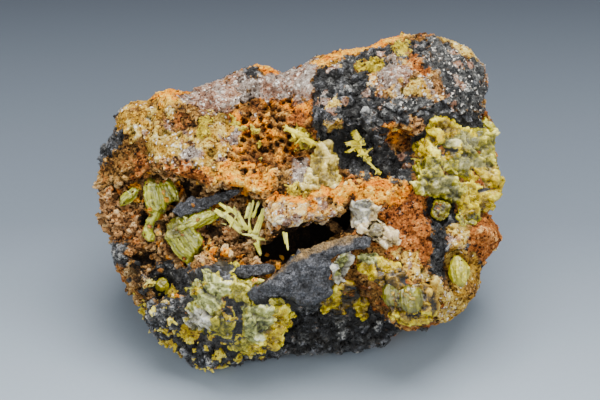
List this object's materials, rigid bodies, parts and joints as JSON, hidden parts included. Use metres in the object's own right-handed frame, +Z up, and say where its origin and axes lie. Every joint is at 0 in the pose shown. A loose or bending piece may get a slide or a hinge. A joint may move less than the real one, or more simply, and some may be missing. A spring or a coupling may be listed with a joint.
{
  "type": "pyromorphite specimen",
  "caption": "Rough gossan rock with black manganese oxide and crusts, barrels and needles of yellow-green pyromorphite, resting on its flat underside.",
  "frame": {"origin": "centre of the bounding box, on the surface the rock rests on", "axes": "+X along the rock's length, to the right as its display face is seen; +Y away from the viewer; +Z up"},
  "size_m": [0.0806, 0.0587, 0.055],
  "materials": {
    "gossan": "rough limonite and iron-stained quartz, matt with small glints",
    "oxide": "black manganese oxide, submetallic",
    "green": "translucent green crystal, resinous to glassy",
    "yellow": "translucent yellow-green crust, resinous",
    "pale": "translucent pale grey-green crust, resinous"
  },
  "bodies": {
    "root": {"barrel_cluster": "green", "upper_barrel_crystal": "green", "left_barrel_crystal": "green", "corner_crystal": "green", "prism_pair": "green", "needle_spray": "green", "hanging_needle": "green", "star_sprig": "yellow", "cap_sprig": "yellow", "top_right_spike": "yellow", "right_lens_crystal": "yellow", "yellow_blades": "yellow", "right_crust": "yellow", "lower_right_crust": "yellow", "ring_crystal": "pale", "hexagonal_crystal": "pale", "plate_patch": "pale", "pale_blade": "pale", "pale_crust": "pale", "lower_left_crust": "pale", "manganese_oxide_plate": "oxide", "manganese_oxide_lens": "oxide", "manganese_oxide_splinter": "oxide", "gossan_matrix": "gossan"}
  },
  "joints": []
}
